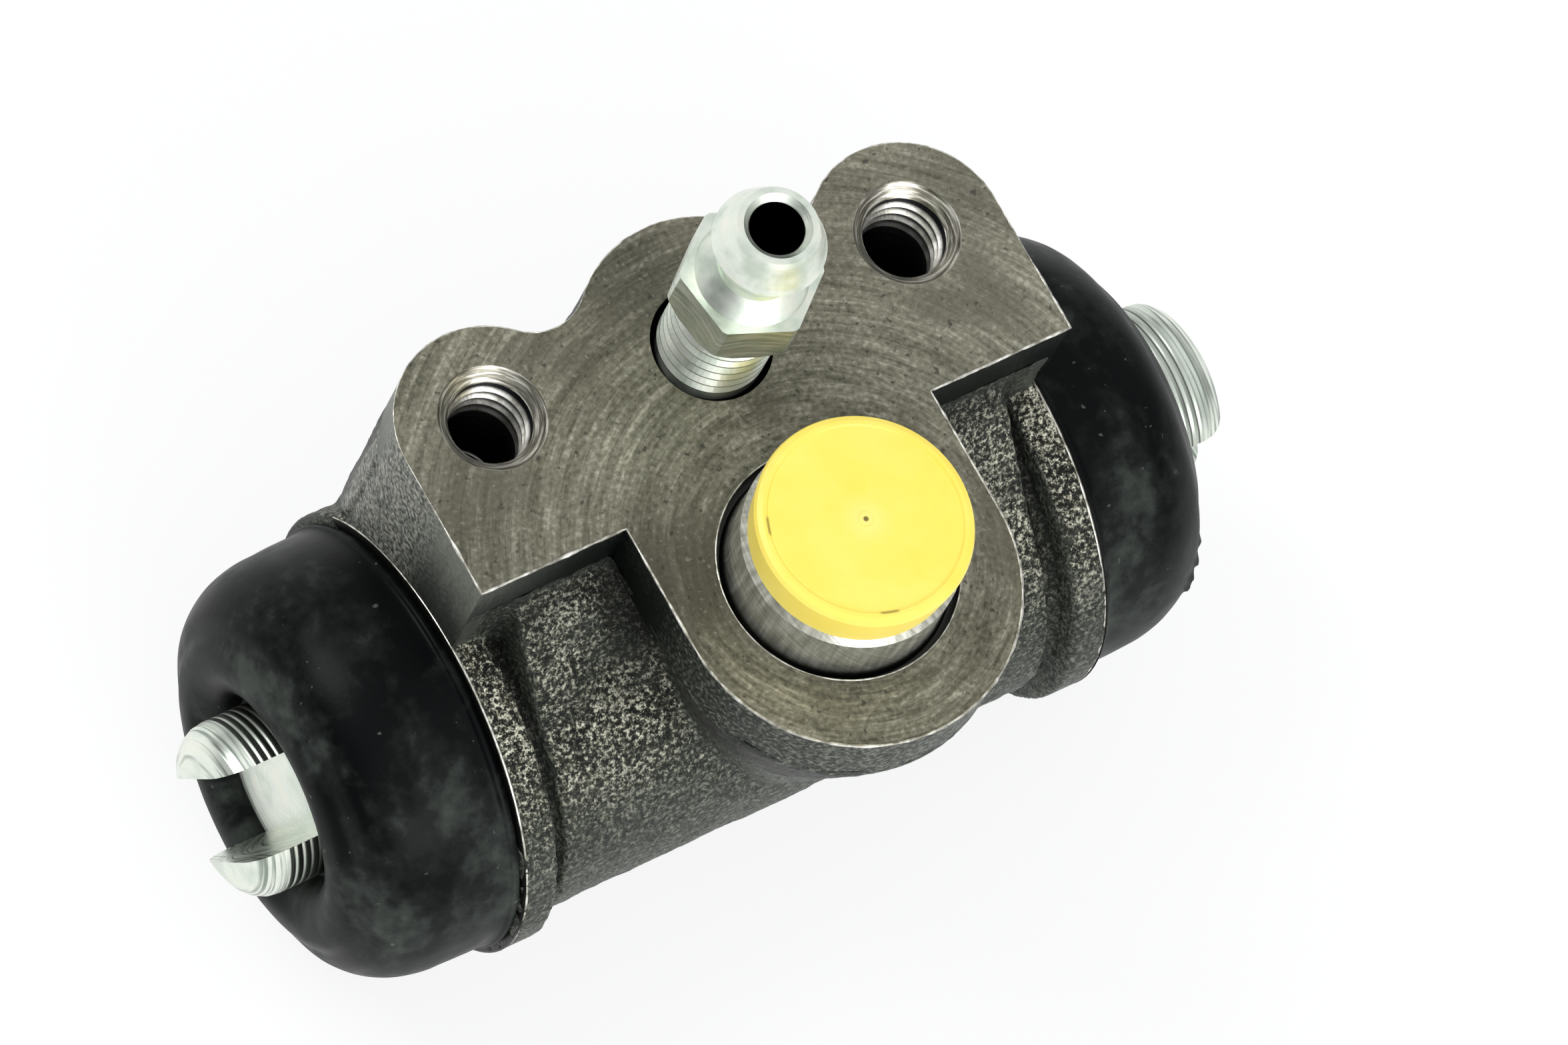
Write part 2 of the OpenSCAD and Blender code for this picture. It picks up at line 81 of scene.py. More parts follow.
class Graph:
    """The node tree of a material or a world, with short calls for the nodes used here."""

    def __init__(self, name, tree=None):
        if tree is None:
            self.material = bpy.data.materials.new(name)
            self.material.use_nodes = True
            tree = self.material.node_tree
        self.tree = tree
        tree.nodes.clear()

    def add(self, kind, inputs=None, **props):
        node = self.tree.nodes.new(kind)
        for key, value in props.items():
            setattr(node, key, value)
        for key, value in (inputs or {}).items():
            self.put(node.inputs[key], value)
        return node

    def put(self, socket, value):
        if isinstance(value, bpy.types.NodeSocket):
            self.tree.links.new(value, socket)
        else:
            socket.default_value = value

    def math(self, operation, a, b=0.0):
        return self.add("ShaderNodeMath", {0: a, 1: b}, operation=operation).outputs[0]

    def absolute(self, value):
        return self.math("ABSOLUTE", value)

    def minus(self, a, b):
        return self.math("SUBTRACT", a, b)

    def larger(self, a, b):
        return self.math("MAXIMUM", a, b)

    def total(self, first, *others):
        for value in others:
            first = self.math("ADD", first, value)
        return first

    def product(self, first, *others):
        for value in others:
            first = self.math("MULTIPLY", first, value)
        return first

    def weigh(self, *pairs):
        """Sum of values, each times its weight."""
        return self.total(*(self.product(*pair) for pair in pairs))

    def swing(self, value, amount):
        """How far a noise is from its middle, times an amount."""
        return self.product(self.minus(value, 0.5), amount)

    def scaled(self, vector, factors):
        node = self.add("ShaderNodeVectorMath", {0: vector, 1: factors}, operation="MULTIPLY")
        return node.outputs[0]

    def towards(self, vector, aim):
        """How much a unit vector points along another."""
        node = self.add("ShaderNodeVectorMath", {0: vector, 1: aim}, operation="DOT_PRODUCT")
        return node.outputs["Value"]

    def split(self, vector):
        return self.add("ShaderNodeSeparateXYZ", {0: vector}).outputs

    def join(self, x, y, z):
        return self.add("ShaderNodeCombineXYZ", {0: x, 1: y, 2: z}).outputs[0]

    def weave(self, *pairs):
        """Coordinates for a noise from three values, each times its own factor."""
        return self.join(*(self.product(*pair) for pair in pairs))

    def rings(self, radius, unit, pitch, arc):
        """Coordinates for a noise that is fine across rings and long round them."""
        ux, uy, _ = self.split(unit)
        return self.weave((radius, 1 / pitch), (ux, arc), (uy, arc))

    def place(self):
        """Place on the part in millimetres."""
        coords = self.add("ShaderNodeTexCoord").outputs["Object"]
        return self.scaled(coords, (1000, 1000, 1000))

    def normal(self):
        return self.split(self.add("ShaderNodeTexCoord").outputs["Normal"])

    def polar(self, u, v):
        """Radius and unit direction of a point in a plane."""
        flat = self.join(u, v, 0.0)
        radius = self.add("ShaderNodeVectorMath", {0: flat}, operation="LENGTH").outputs["Value"]
        unit = self.add("ShaderNodeVectorMath", {0: flat}, operation="NORMALIZE").outputs[0]
        return radius, unit

    def around(self, vector, centre=(0.0, 0.0)):
        """Radius and unit direction in the XY plane about a point."""
        x, y, _ = self.split(vector)
        return self.polar(self.minus(x, centre[0]), self.minus(y, centre[1]))

    def around_bolt(self, vector):
        """Radius and unit direction about the bolt hole on the same side."""
        x, y, z = self.split(vector)
        return self.around(self.join(self.absolute(x), y, z), BOLTS[1])

    def off_axis(self, vector):
        """Distances from the bore's axis along Y and Z."""
        _, y, z = self.split(vector)
        return self.minus(y, AXIS_Y), self.minus(z, AXIS_Z)

    def noise(self, vector, scale, detail=3.0, rough=0.55):
        node = self.add("ShaderNodeTexNoise",
                        {"Vector": vector, "Scale": scale, "Detail": detail, "Roughness": rough})
        return node.outputs["Fac"]

    def fade(self, value, low, high, to_low=0.0, to_high=1.0):
        """Smooth step of a value between two limits."""
        node = self.add("ShaderNodeMapRange",
                        {"Value": value, "From Min": low, "From Max": high,
                         "To Min": to_low, "To Max": to_high}, interpolation_type="SMOOTHSTEP")
        return node.outputs["Result"]

    def ramp(self, value, stops):
        node = self.add("ShaderNodeValToRGB", {"Fac": value})
        elements = node.color_ramp.elements
        while len(elements) < len(stops):
            elements.new(0.5)
        for element, (position, colour) in zip(elements, stops):
            element.position = position
            element.color = (*colour, 1)
        return node.outputs["Color"]

    def mix(self, factor, a, b):
        """Mix of two colours."""
        node = self.add("ShaderNodeMix", data_type="RGBA")
        for socket, value in zip((node.inputs[0], node.inputs[6], node.inputs[7]), (factor, a, b)):
            self.put(socket, (*value, 1) if isinstance(value, tuple) and len(value) == 3 else value)
        return node.outputs[2]

    def blend(self, factor, a, b):
        """Mix of two numbers."""
        node = self.add("ShaderNodeMix", {0: factor, 2: a, 3: b}, data_type="FLOAT")
        return node.outputs[0]

    def bump(self, height, depth, strength=1.0):
        """Normal bent by a height, with its depth in millimetres."""
        inputs = {"Height": height, "Distance": depth * MM, "Strength": strength}
        return self.add("ShaderNodeBump", inputs).outputs["Normal"]

    def surface(self, **inputs):
        shader = self.add("ShaderNodeBsdfPrincipled",
                          {key.replace("_", " "): value for key, value in inputs.items()})
        self.show(shader, "ShaderNodeOutputMaterial")
        return self.material

    def show(self, shader, kind):
        """Link a shader to the tree's output."""
        out = self.add(kind)
        self.tree.links.new(shader.outputs[0], out.inputs["Surface"])


# Materials of the casting

# Place, reach and depth of darker stains on the mounting face
FACE_STAINS = (((-10.0, 3.0), 8.0, 0.72), ((-3.0, 22.5), 6.5, 0.55), ((-21.0, 10.5), 6.0, 0.4),
               ((19.5, 19.0), 5.0, 0.35))
# Scale of the cast grains, and where along Y the ears' sides turn into cast skin
CAST_GRAIN = 3.2
EAR_CAST_Y = (11.4, 15.0)
# Radius of the crests of the bolt holes' threads
BOLT_CREST_R = 2.44


def iron_face():
    """Machined mounting face: arcs of turning marks about the inlet, brown-grey, with small pits, and
    painted light towards the right ear.
    """
    g = Graph("iron_face")
    p = g.place()
    x, _, _ = g.split(p)
    radius, unit = g.around(p)
    broad = g.noise(g.rings(radius, unit, 1.5, 1.5), 1.0, 3)
    coarse = g.noise(g.rings(radius, unit, 0.45, 2.6), 1.0, 3)
    fine = g.noise(g.rings(radius, unit, 0.17, 7.0), 1.0, 2)
    blotch = g.noise(p, 0.13, 3)
    pits = g.fade(g.noise(p, 1.7, 2, 0.5), 0.63, 0.72)
    flecks = g.fade(g.noise(p, 2.3, 2, 0.5), 0.62, 0.72)
    grain = g.noise(p, 2.8, 2)
    marks = g.weigh((broad, 0.2), (coarse, 0.3), (fine, 0.2), (grain, 0.3))
    steel = g.ramp(marks, [(0.38, (0.062, 0.060, 0.042)), (0.47, (0.142, 0.138, 0.098)),
                           (0.54, (0.222, 0.216, 0.162)), (0.66, (0.500, 0.482, 0.385))])
    tinted = g.mix(g.fade(blotch, 0.46, 0.66, 0.0, 0.6), steel, (0.100, 0.092, 0.063))
    for spot, reach, depth in FACE_STAINS:
        away, _ = g.around(p, spot)
        uneven = g.total(away, g.swing(blotch, 6.0))
        tinted = g.mix(g.fade(uneven, reach, 0.2 * reach, 0.0, depth), tinted, (0.048, 0.045, 0.030))
    # Painted light: the face is made lighter towards the right ear.
    lit = g.mix(g.fade(x, 6.0, 20.0, 0.0, 0.14), tinted, (0.240, 0.235, 0.185))
    flecked = g.mix(g.product(flecks, 0.28), lit, (0.420, 0.405, 0.330))
    colour = g.mix(g.product(pits, 0.75), flecked, (0.034, 0.032, 0.026))
    height = g.minus(marks, g.product(pits, 0.5))
    return g.surface(Base_Color=colour, Metallic=0.55, Roughness=g.fade(marks, 0.3, 0.7, 0.54, 0.38),
                     Normal=g.bump(height, 0.03, 0.7))


def ear_grains(g, grain):
    """Pale cast skin of the ears' sides, with small dark pits."""
    return g.ramp(grain, [(0.38, (0.030, 0.033, 0.028)), (0.46, (0.120, 0.126, 0.106)),
                          (0.54, (0.190, 0.196, 0.166)), (0.66, (0.360, 0.360, 0.308))])


def iron_wall():
    """Side walls of the pad with painted shade: darker away from the face and on the sheltered walls at the
    notches and the boss, cast on the ears and boss.
    """
    g = Graph("iron_wall")
    p = g.place()
    x, y, z = g.split(p)
    nx, ny, _ = g.normal()
    out = g.absolute(x)
    streak = g.noise(g.scaled(p, (1.6, 1.6, 0.25)), 1.0, 3)
    grain = g.noise(p, CAST_GRAIN, 3)
    # Painted shade: walls facing the front at the notches and the boss's flanks are made darker, and the
    # boss's cast skin darker and less glossy there.
    notch = g.product(g.fade(ny, -0.2, -0.8), g.fade(x, -21.5, -13.5, 0.35, 1.0))
    boss = g.product(g.fade(g.absolute(nx), 0.3, 0.8), g.fade(out, 14.0, 12.0))
    sheltered_shade = g.product(g.fade(y, -11.5, -5.0), g.larger(notch, boss))
    # Painted shade: darker away from the face, towards the bottom.
    lit = g.minus(g.fade(z, -12.0, 0.5, 0.24, 0.66), g.product(sheltered_shade, 0.46))
    tone = g.total(lit, g.swing(streak, 0.14), g.swing(grain, 0.3))
    smooth = g.ramp(tone, [(0.14, (0.004, 0.006, 0.005)), (0.40, (0.034, 0.040, 0.033)),
                           (0.62, (0.136, 0.147, 0.119)), (0.80, (0.245, 0.254, 0.220))])
    on_ear = g.product(g.fade(out, EAR_X - 0.6, EAR_X - 0.1), g.fade(y, *EAR_CAST_Y))
    on_boss = g.fade(y, 3.0, -2.0)
    boss_skin = g.ramp(g.minus(grain, g.product(sheltered_shade, 0.06)),
                       [(0.38, (0.014, 0.017, 0.013)), (0.50, (0.052, 0.059, 0.047)),
                        (0.64, (0.165, 0.175, 0.142))])
    colour = g.mix(on_boss, g.mix(on_ear, smooth, ear_grains(g, grain)), boss_skin)
    coarseness = g.blend(g.larger(on_ear, on_boss), 0.4, 3.0)
    height = g.total(streak, g.product(grain, coarseness))
    gloss = g.blend(on_boss, g.blend(sheltered_shade, 0.5, 0.06), 0.22)
    return g.surface(Base_Color=colour, Metallic=0.4, Roughness=0.5, Specular_IOR_Level=gloss,
                     Normal=g.bump(height, 0.04, 0.6))


def iron_turned():
    """Turned spigot and necks, with painted shade: dark below the mounting face."""
    g = Graph("iron_turned")
    p = g.place()
    x, _, z = g.split(p)
    _, unit = g.around(p)
    ux, uy, _ = g.split(unit)
    lines = g.noise(g.weave((ux, 1.5), (uy, 1.5), (g.total(z, x), 5.0)), 1.0, 3)
    streak = g.noise(g.weave((ux, 14), (uy, 14), (z, 0.3)), 1.0, 2)
    tone = g.weigh((lines, 0.45), (streak, 0.55))
    clean = g.ramp(tone, [(0.32, (0.250, 0.250, 0.210)), (0.50, (0.500, 0.500, 0.430)),
                          (0.68, (0.860, 0.850, 0.780))])
    # Painted shade: near black below the mounting face.
    colour = g.mix(g.fade(z, 0.1, -0.6), clean, (0.026, 0.026, 0.024))
    return g.surface(Base_Color=colour, Metallic=0.8, Roughness=0.36,
                     Normal=g.bump(lines, 0.02, 0.7))


def iron_edge_highlight():
    """Freshly cut edges and burrs, coloured brighter than the face as a painted highlight."""
    g = Graph("iron_edge_highlight")
    p = g.place()
    tone = g.noise(p, 1.3, 3)
    colour = g.ramp(tone, [(0.34, (0.240, 0.230, 0.190)), (0.52, (0.560, 0.548, 0.490)),
                           (0.68, (0.880, 0.870, 0.820))])
    return g.surface(Base_Color=colour, Metallic=0.8, Roughness=0.3,
                     Normal=g.bump(tone, 0.05, 0.5))


def iron_sink():
    """Countersinks of the bolt holes, with fine rings from the cutter."""
    g = Graph("iron_sink")
    radius, unit = g.around_bolt(g.place())
    lines = g.noise(g.rings(radius, unit, 0.14, 1.4), 1.0, 3)
    colour = g.ramp(lines, [(0.34, (0.085, 0.080, 0.062)), (0.50, (0.300, 0.288, 0.238)),
                            (0.64, (0.880, 0.865, 0.790))])
    return g.surface(Base_Color=colour, Metallic=0.85, Roughness=0.3,
                     Normal=g.bump(lines, 0.04, 0.7))


def iron_hole():
    """Tapped walls with painted shade: bright ridges at the mouth, black in the grooves and below."""
    g = Graph("iron_hole")
    p = g.place()
    _, _, z = g.split(p)
    radius, _ = g.around_bolt(p)
    tone = g.noise(p, 1.4, 3)
    fresh = g.ramp(tone, [(0.36, (0.520, 0.505, 0.440)), (0.60, (0.940, 0.925, 0.870))])
    # Painted shade: everything but the crests near the mouth is made black.
    on_crest = g.fade(radius, BOLT_CREST_R + 0.3, BOLT_CREST_R + 0.06)
    ridge = g.product(on_crest, g.fade(z, -5.6, -2.4))
    return g.surface(Base_Color=g.mix(ridge, (0.004, 0.004, 0.005), fresh), Metallic=0.85,
                     Roughness=0.3, Normal=g.bump(tone, 0.02, 0.4))


def iron_gap():
    """Painted shade: a near-black sheet on the gap round the bleed screw and on the inlet's wall."""
    g = Graph("iron_gap")
    p = g.place()
    mottle = g.noise(p, 0.8, 3)
    # Painted shade: near black.
    colour = g.ramp(mottle, [(0.4, (0.002, 0.002, 0.002)), (0.7, (0.006, 0.006, 0.005))])
    return g.surface(Base_Color=colour, Roughness=0.6, Specular_IOR_Level=0.02,
                     Normal=g.bump(mottle, 0.02, 0.4))


def iron_cast():
    """Sand-cast skin: bright grains on top, partly painted glints, with painted shade as plainer, darker
    grains below and as darkening in the rims' grooves and at the boss, pale ears.
    """
    g = Graph("iron_cast")
    p = g.place()
    x, y, z = g.split(p)
    _, _, nz = g.normal()
    out = g.absolute(x)
    radius, _ = g.polar(*g.off_axis(p))
    grains = g.noise(p, CAST_GRAIN, 4, 0.72)
    fine = g.noise(p, 8.0, 2)
    wide = g.noise(p, 0.3, 3)
    stain = g.noise(p, 0.7, 3)
    tone = g.total(g.weigh((grains, 0.75), (fine, 0.25)), g.swing(wide, 0.16))
    # The brightest grains are partly painted glints.
    grains_and_glints = g.ramp(tone, [(0.435, (0.005, 0.006, 0.005)), (0.485, (0.026, 0.029, 0.022)),
                           (0.525, (0.145, 0.148, 0.112)), (0.565, (0.520, 0.510, 0.405)),
                           (0.62, (0.920, 0.900, 0.750))])
    stained = g.mix(g.fade(stain, 0.48, 0.66, 0.0, 0.22), grains_and_glints, (0.066, 0.056, 0.037))
    # Painted shade: where the skin faces sideways or down, plainer and darker grains replace the bright
    # ones.
    even = g.ramp(grains, [(0.36, (0.016, 0.020, 0.016)), (0.50, (0.046, 0.053, 0.042)),
                           (0.64, (0.135, 0.146, 0.118))])
    plain = g.mix(g.fade(nz, 0.95, 0.35, 0.0, 0.9), stained, even)
    # Painted shade: darker in the rims' grooves, more so higher up, and in the corners by the boss and
    # under the notch walls.
    off_groove = g.absolute(g.minus(out, GROOVE_X))
    groove = g.product(g.fade(off_groove, 0.9, 0.35), g.fade(radius, 13.6, 13.0))
    by_boss = g.larger(g.fade(out, 13.2, 11.4), g.product(g.fade(y, 5.4, 6.9), 0.6))
    foot = g.product(by_boss, g.fade(z, -13.0, -9.0), g.fade(out, 20.5, 19.5))
    upper = g.fade(z, AXIS_Z + 4.5, AXIS_Z + 11.0, 0.3, 0.85)
    groove_and_corner_shade = g.larger(g.product(groove, upper), g.product(foot, 0.8))
    shaded_skin = g.mix(groove_and_corner_shade, plain, (0.007, 0.009, 0.007))
    pale = ear_grains(g, g.noise(p, CAST_GRAIN, 3))
    ear = g.mix(g.fade(y, *EAR_CAST_Y), (0.052, 0.058, 0.048), pale)
    on_ear = g.product(g.fade(out, EAR_X - 1.6, EAR_X - 0.9), g.fade(radius, RIM_R + 0.1, RIM_R + 0.6))
    colour = g.mix(on_ear, shaded_skin, ear)
    height = g.total(grains, g.product(fine, 0.3))
    return g.surface(Base_Color=colour, Metallic=0.3, Roughness=0.45, Specular_IOR_Level=0.25,
                     Normal=g.bump(height, 0.24, g.blend(on_ear, 1.0, 0.4)))


# Materials of the other pieces

# Pitch of the turned rings on the pistons' noses
RING_PITCH = 0.56
# Directions in degrees of the two scuffs on the plug's raised ring
PLUG_SCUFFS = (160.0, -106.0)


def zinc_piston():
    """Turned, zinc-plated piston: grooved rings on the nose, cut streaks on its cone."""
    g = Graph("zinc_piston")
    p = g.place()
    x, _, _ = g.split(p)
    reach = g.absolute(g.minus(x, PISTON_SHIFT))
    off_y, off_z = g.off_axis(p)
    radius, _ = g.polar(off_y, off_z)
    rings = g.math("SINE", g.product(reach, 2 * math.pi / RING_PITCH))
    on_nose = g.product(g.fade(reach, CONE_S + 0.1, CONE_S - 0.2),
                        g.fade(radius, NOSE_R - 0.2, NOSE_R - 0.1))
    fine = g.noise(g.weave((g.total(radius, reach), 4.0), (off_y, 0.12), (off_z, 0.12)), 1.0, 3)
    tint = g.noise(p, 0.45, 3)
    plate = g.ramp(tint, [(0.36, (0.680, 0.745, 0.660)), (0.54, (0.800, 0.850, 0.770)),
                          (0.68, (0.860, 0.880, 0.780))])
    turned = g.mix(g.product(on_nose, 0.55), plate, (0.330, 0.370, 0.320))
    groove = g.product(g.fade(rings, -0.55, -0.97, 0.0, 0.85), on_nose)
    on_cone = g.product(g.fade(reach, CONE_S - 0.1, CONE_S + 0.2), g.fade(radius, 3.4, 3.8))
    cuts = g.noise(g.weave((reach, 5.0), (off_y, 0.15), (off_z, 0.15)), 1.0, 2)
    streak = g.product(on_cone, g.fade(cuts, 0.47, 0.66, 0.0, 0.85))
    streaked = g.mix(streak, turned, (0.190, 0.235, 0.195))
    colour = g.mix(groove, streaked, (0.050, 0.056, 0.048))
    height = g.total(g.product(rings, on_nose, 0.8), g.product(fine, 0.3))
    return g.surface(Base_Color=colour, Metallic=1.0, Roughness=g.fade(fine, 0.3, 0.7, 0.26, 0.42),
                     Normal=g.bump(height, 0.05, 0.8))


def zinc_screw():
    """Turned, zinc-plated bleed screw with painted shade down the hole in its middle."""
    g = Graph("zinc_screw")
    p = g.place()
    radius, unit = g.around(p, (0.0, BLEED_Y))
    _, _, z = g.split(p)
    lines = g.noise(g.rings(g.total(radius, z), unit, 0.3, 1.2), 1.0, 3)
    tint = g.noise(p, 0.5, 3)
    plate = g.ramp(tint, [(0.34, (0.600, 0.675, 0.580)), (0.52, (0.790, 0.845, 0.760)),
                          (0.68, (0.870, 0.890, 0.785))])
    # Painted shade: near black inside the nipple's hole.
    inside = g.product(g.fade(radius, NIPPLE_R + 0.09, NIPPLE_R + 0.01),
                       g.fade(z, NIPPLE_TOP - 0.3, NIPPLE_TOP - 0.5))
    colour = g.mix(inside, plate, (0.005, 0.005, 0.006))
    return g.surface(Base_Color=colour, Metallic=1.0, Roughness=g.fade(lines, 0.3, 0.7, 0.30, 0.44),
                     Normal=g.bump(lines, 0.02, 0.6))


def boot_rubber():
    """Satin black rubber: greenish blooming patches along the rings that are partly a painted sheen,
    moulding dust and a fine grain.
    """
    g = Graph("boot_rubber")
    p = g.place()
    x, _, _ = g.split(p)
    radius, unit = g.polar(*g.off_axis(p))
    uy, uz, _ = g.split(unit)
    along = g.minus(g.absolute(x), radius)
    patch = g.noise(g.weave((along, 0.16), (uy, 1.5), (uz, 1.5)), 1.0, 3, 0.6)
    cloud = g.noise(p, 0.9, 4, 0.65)
    bloom_and_sheen = g.total(patch, g.swing(cloud, 0.35))
    grain = g.noise(p, 4.0, 3)
    dust = g.fade(g.noise(p, 1.5, 2), 0.72, 0.77)
    # The paler blooming patches are partly a painted sheen.
    skin = g.ramp(bloom_and_sheen, [(0.40, (0.0016, 0.0020, 0.0022)), (0.52, (0.0085, 0.0104, 0.0096)),
                          (0.70, (0.044, 0.051, 0.045))])
    colour = g.mix(g.product(dust, 0.5), skin, (0.13, 0.14, 0.13))
    return g.surface(Base_Color=colour, Roughness=g.fade(bloom_and_sheen, 0.38, 0.70, 0.34, 0.54),
                     Specular_IOR_Level=0.07, Normal=g.bump(grain, 0.02, 0.5))


def seal_rubber():
    """Black rubber of the cups, wet in places."""
    g = Graph("seal_rubber")
    p = g.place()
    mottle = g.noise(p, 0.4, 3)
    colour = g.ramp(mottle, [(0.4, (0.012, 0.012, 0.013)), (0.7, (0.034, 0.034, 0.036))])
    return g.surface(Base_Color=colour, Roughness=g.fade(mottle, 0.4, 0.7, 0.22, 0.42),
                     Normal=g.bump(g.noise(p, 6.0, 2), 0.01, 0.4))


def spring_wire():
    """Drawn steel wire."""
    g = Graph("spring_wire")
    p = g.place()
    drawn = g.noise(g.scaled(p, (3.0, 0.8, 0.8)), 1.0, 3)
    colour = g.ramp(drawn, [(0.35, (0.21, 0.22, 0.23)), (0.65, (0.42, 0.43, 0.44))])
    return g.surface(Base_Color=colour, Metallic=0.9, Roughness=0.32,
                     Normal=g.bump(drawn, 0.01, 0.5))


def plug_plastic():
    """Moulded yellow plug with a dark gate mark in its middle and two scuffs on its ring."""
    g = Graph("plug_plastic")
    p = g.place()
    radius, unit = g.around(p)
    _, _, z = g.split(p)
    cloud = g.noise(p, 0.25, 3)
    skin = g.ramp(cloud, [(0.36, (0.900, 0.705, 0.098)), (0.64, (0.920, 0.745, 0.140))])
    halo = g.mix(g.fade(radius, 2.2, 0.2, 0.0, 0.5), skin, (0.930, 0.790, 0.260))
    on_top = g.fade(z, PLUG_TOP - 0.5, PLUG_TOP - 0.3)
    gate = g.product(g.fade(radius, 0.22, 0.12), on_top)
    at_ring = g.fade(g.absolute(g.minus(radius, PLUG_RING_R)), 0.16, 0.04)
    scuffs = 0.0
    for angle in map(math.radians, PLUG_SCUFFS):
        near = g.towards(unit, (math.cos(angle), math.sin(angle), 0.0))
        scuffs = g.total(scuffs, g.fade(near, 0.993, 0.998))
    worn = g.product(at_ring, on_top, scuffs, 0.7)
    colour = g.mix(g.larger(gate, worn), halo, (0.18, 0.13, 0.02))
    return g.surface(Base_Color=colour, Roughness=g.fade(cloud, 0.3, 0.7, 0.34, 0.46),
                     Subsurface_Weight=0.12, Subsurface_Radius=(0.8, 0.6, 0.1), Subsurface_Scale=0.001,
                     Normal=g.bump(g.noise(p, 4.0, 2), 0.015, 0.5))


# Mesh helpers

# Threads of one pitch: radius of the wall and of the crests, then the lowest and highest place
THREAD_PITCH, THREAD_STEPS = 1.0, 60
BOLT_THREAD = ((2.95, BOLT_CREST_R), (-12.4, -0.56))
PORT_THREAD = ((PORT_R + 0.03, 4.46), (-6.8, PORT_STEP_Z))
BLEED_THREAD = ((BLEED_R - 0.03, 3.5), (-1.9, HEX_Z - 0.2))
# Half the width of a crest in pitches, and the turns in which a thread fades out
CREST_FLAT, RUN_OUT = 0.07, 0.6


def add_object(name, data):
    """A new object in the scene."""
    thing = bpy.data.objects.new(name, data)
    bpy.context.scene.collection.objects.link(thing)
    return thing


def new_piece(name, vertices, faces, material, body="housing", slot="iron", smooth=True):
    """An object from points in millimetres that rides on a body."""
    mesh = bpy.data.meshes.new(name)
    mesh.from_pydata([tuple(c * MM for c in v) for v in vertices], [], faces)
    mesh.validate()
    mesh.polygons.foreach_set("use_smooth", [smooth] * len(mesh.polygons))
    mesh.materials.append(material)
    piece = add_object(name, mesh)
    if body:
        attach(piece, body)
    return piece


def node_mesh(node):
    """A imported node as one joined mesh, in millimetres."""
    bm = bmesh.new()
    bm.from_mesh(nodes[node].data)
    bmesh.ops.remove_doubles(bm, verts=bm.verts, dist=1e-6)
    bmesh.ops.scale(bm, vec=(1000, 1000, 1000), verts=bm.verts)
    bm.normal_update()
    return bm


def cut_away(bm, point, normal, dist):
    """Remove what is beyond a plane and close the cut."""
    cut = bmesh.ops.bisect_plane(bm, geom=bm.verts[:] + bm.edges[:] + bm.faces[:], dist=dist,
                                 plane_co=point, plane_no=normal, clear_outer=True)
    edges = [e for e in cut["geom_cut"] if isinstance(e, bmesh.types.BMEdge)]
    bmesh.ops.holes_fill(bm, edges=edges)


def object_from(bm, name, materials):
    """An object from a mesh in millimetres, which is used up."""
    bmesh.ops.scale(bm, vec=(MM, MM, MM), verts=bm.verts)
    mesh = bpy.data.meshes.new(name)
    bm.to_mesh(mesh)
    bm.free()
    for material in materials:
        mesh.materials.append(material)
    return add_object(name, mesh)


def rows_to_faces(rows, columns, closed=False):
    """Four-sided faces between rows of points; a closed sheet joins its ends both ways."""
    faces = []
    for i in range(rows if closed else rows - 1):
        for j in range(columns if closed else columns - 1):
            a, b = i * columns, (i + 1) % rows * columns
            k = (j + 1) % columns
            faces.append((a + j, a + k, b + k, b + j))
    return faces


def bore_point(side, reach, radius, angle):
    """A point given by its reach along the bore, and its radius and angle about the axis."""
    return (side * reach, AXIS_Y + radius * math.cos(angle), AXIS_Z + radius * math.sin(angle))


def smooth_line(points, steps):
    """Catmull-Rom curve through the points."""
    pts = [points[0], *points, points[-1]]
    line = []
    for a, b, c, d in zip(pts, pts[1:], pts[2:], pts[3:]):
        for i in range(steps):
            t = i / steps
            line.append(tuple(
                0.5 * (2 * q + (r - p) * t + (2 * p - 5 * q + 4 * r - s) * t * t
                       + (3 * q - p - 3 * r + s) * t ** 3)
                for p, q, r, s in zip(a, b, c, d)))
    return [*line, tuple(points[-1])]


def lathe(name, profile, side, material, segments, shift, **options):
    """A closed profile of (reach, radius) turned about the bore at one end; shift adds to its radius."""
    vertices = []
    for k in range(segments):
        angle = 2 * math.pi * k / segments
        for reach, radius in profile:
            vertices.append(bore_point(side, reach, radius + shift(reach, radius, angle), angle))
    faces = rows_to_faces(segments, len(profile), closed=True)
    if side < 0:
        faces = [f[::-1] for f in faces]
    return new_piece(name, vertices, faces, material, **options)


def bead(name, line, radii, material, sides=6):
    """A thin bead along a closed line, with its own radius at each point."""
    vertices = []
    points = [Vector(q) for q in line]
    count = len(points)
    for i, point in enumerate(points):
        along = (points[(i + 1) % count] - points[i - 1]).normalized()
        across = along.cross(Vector((0, 0, 1))).normalized()
        up = across.cross(along)
        for k in range(sides):
            a = 2 * math.pi * k / sides
            vertices.append(point + radii[i] * (across * math.cos(a) + up * math.sin(a)))
    return new_piece(name, vertices, rows_to_faces(count, sides, closed=True), material)


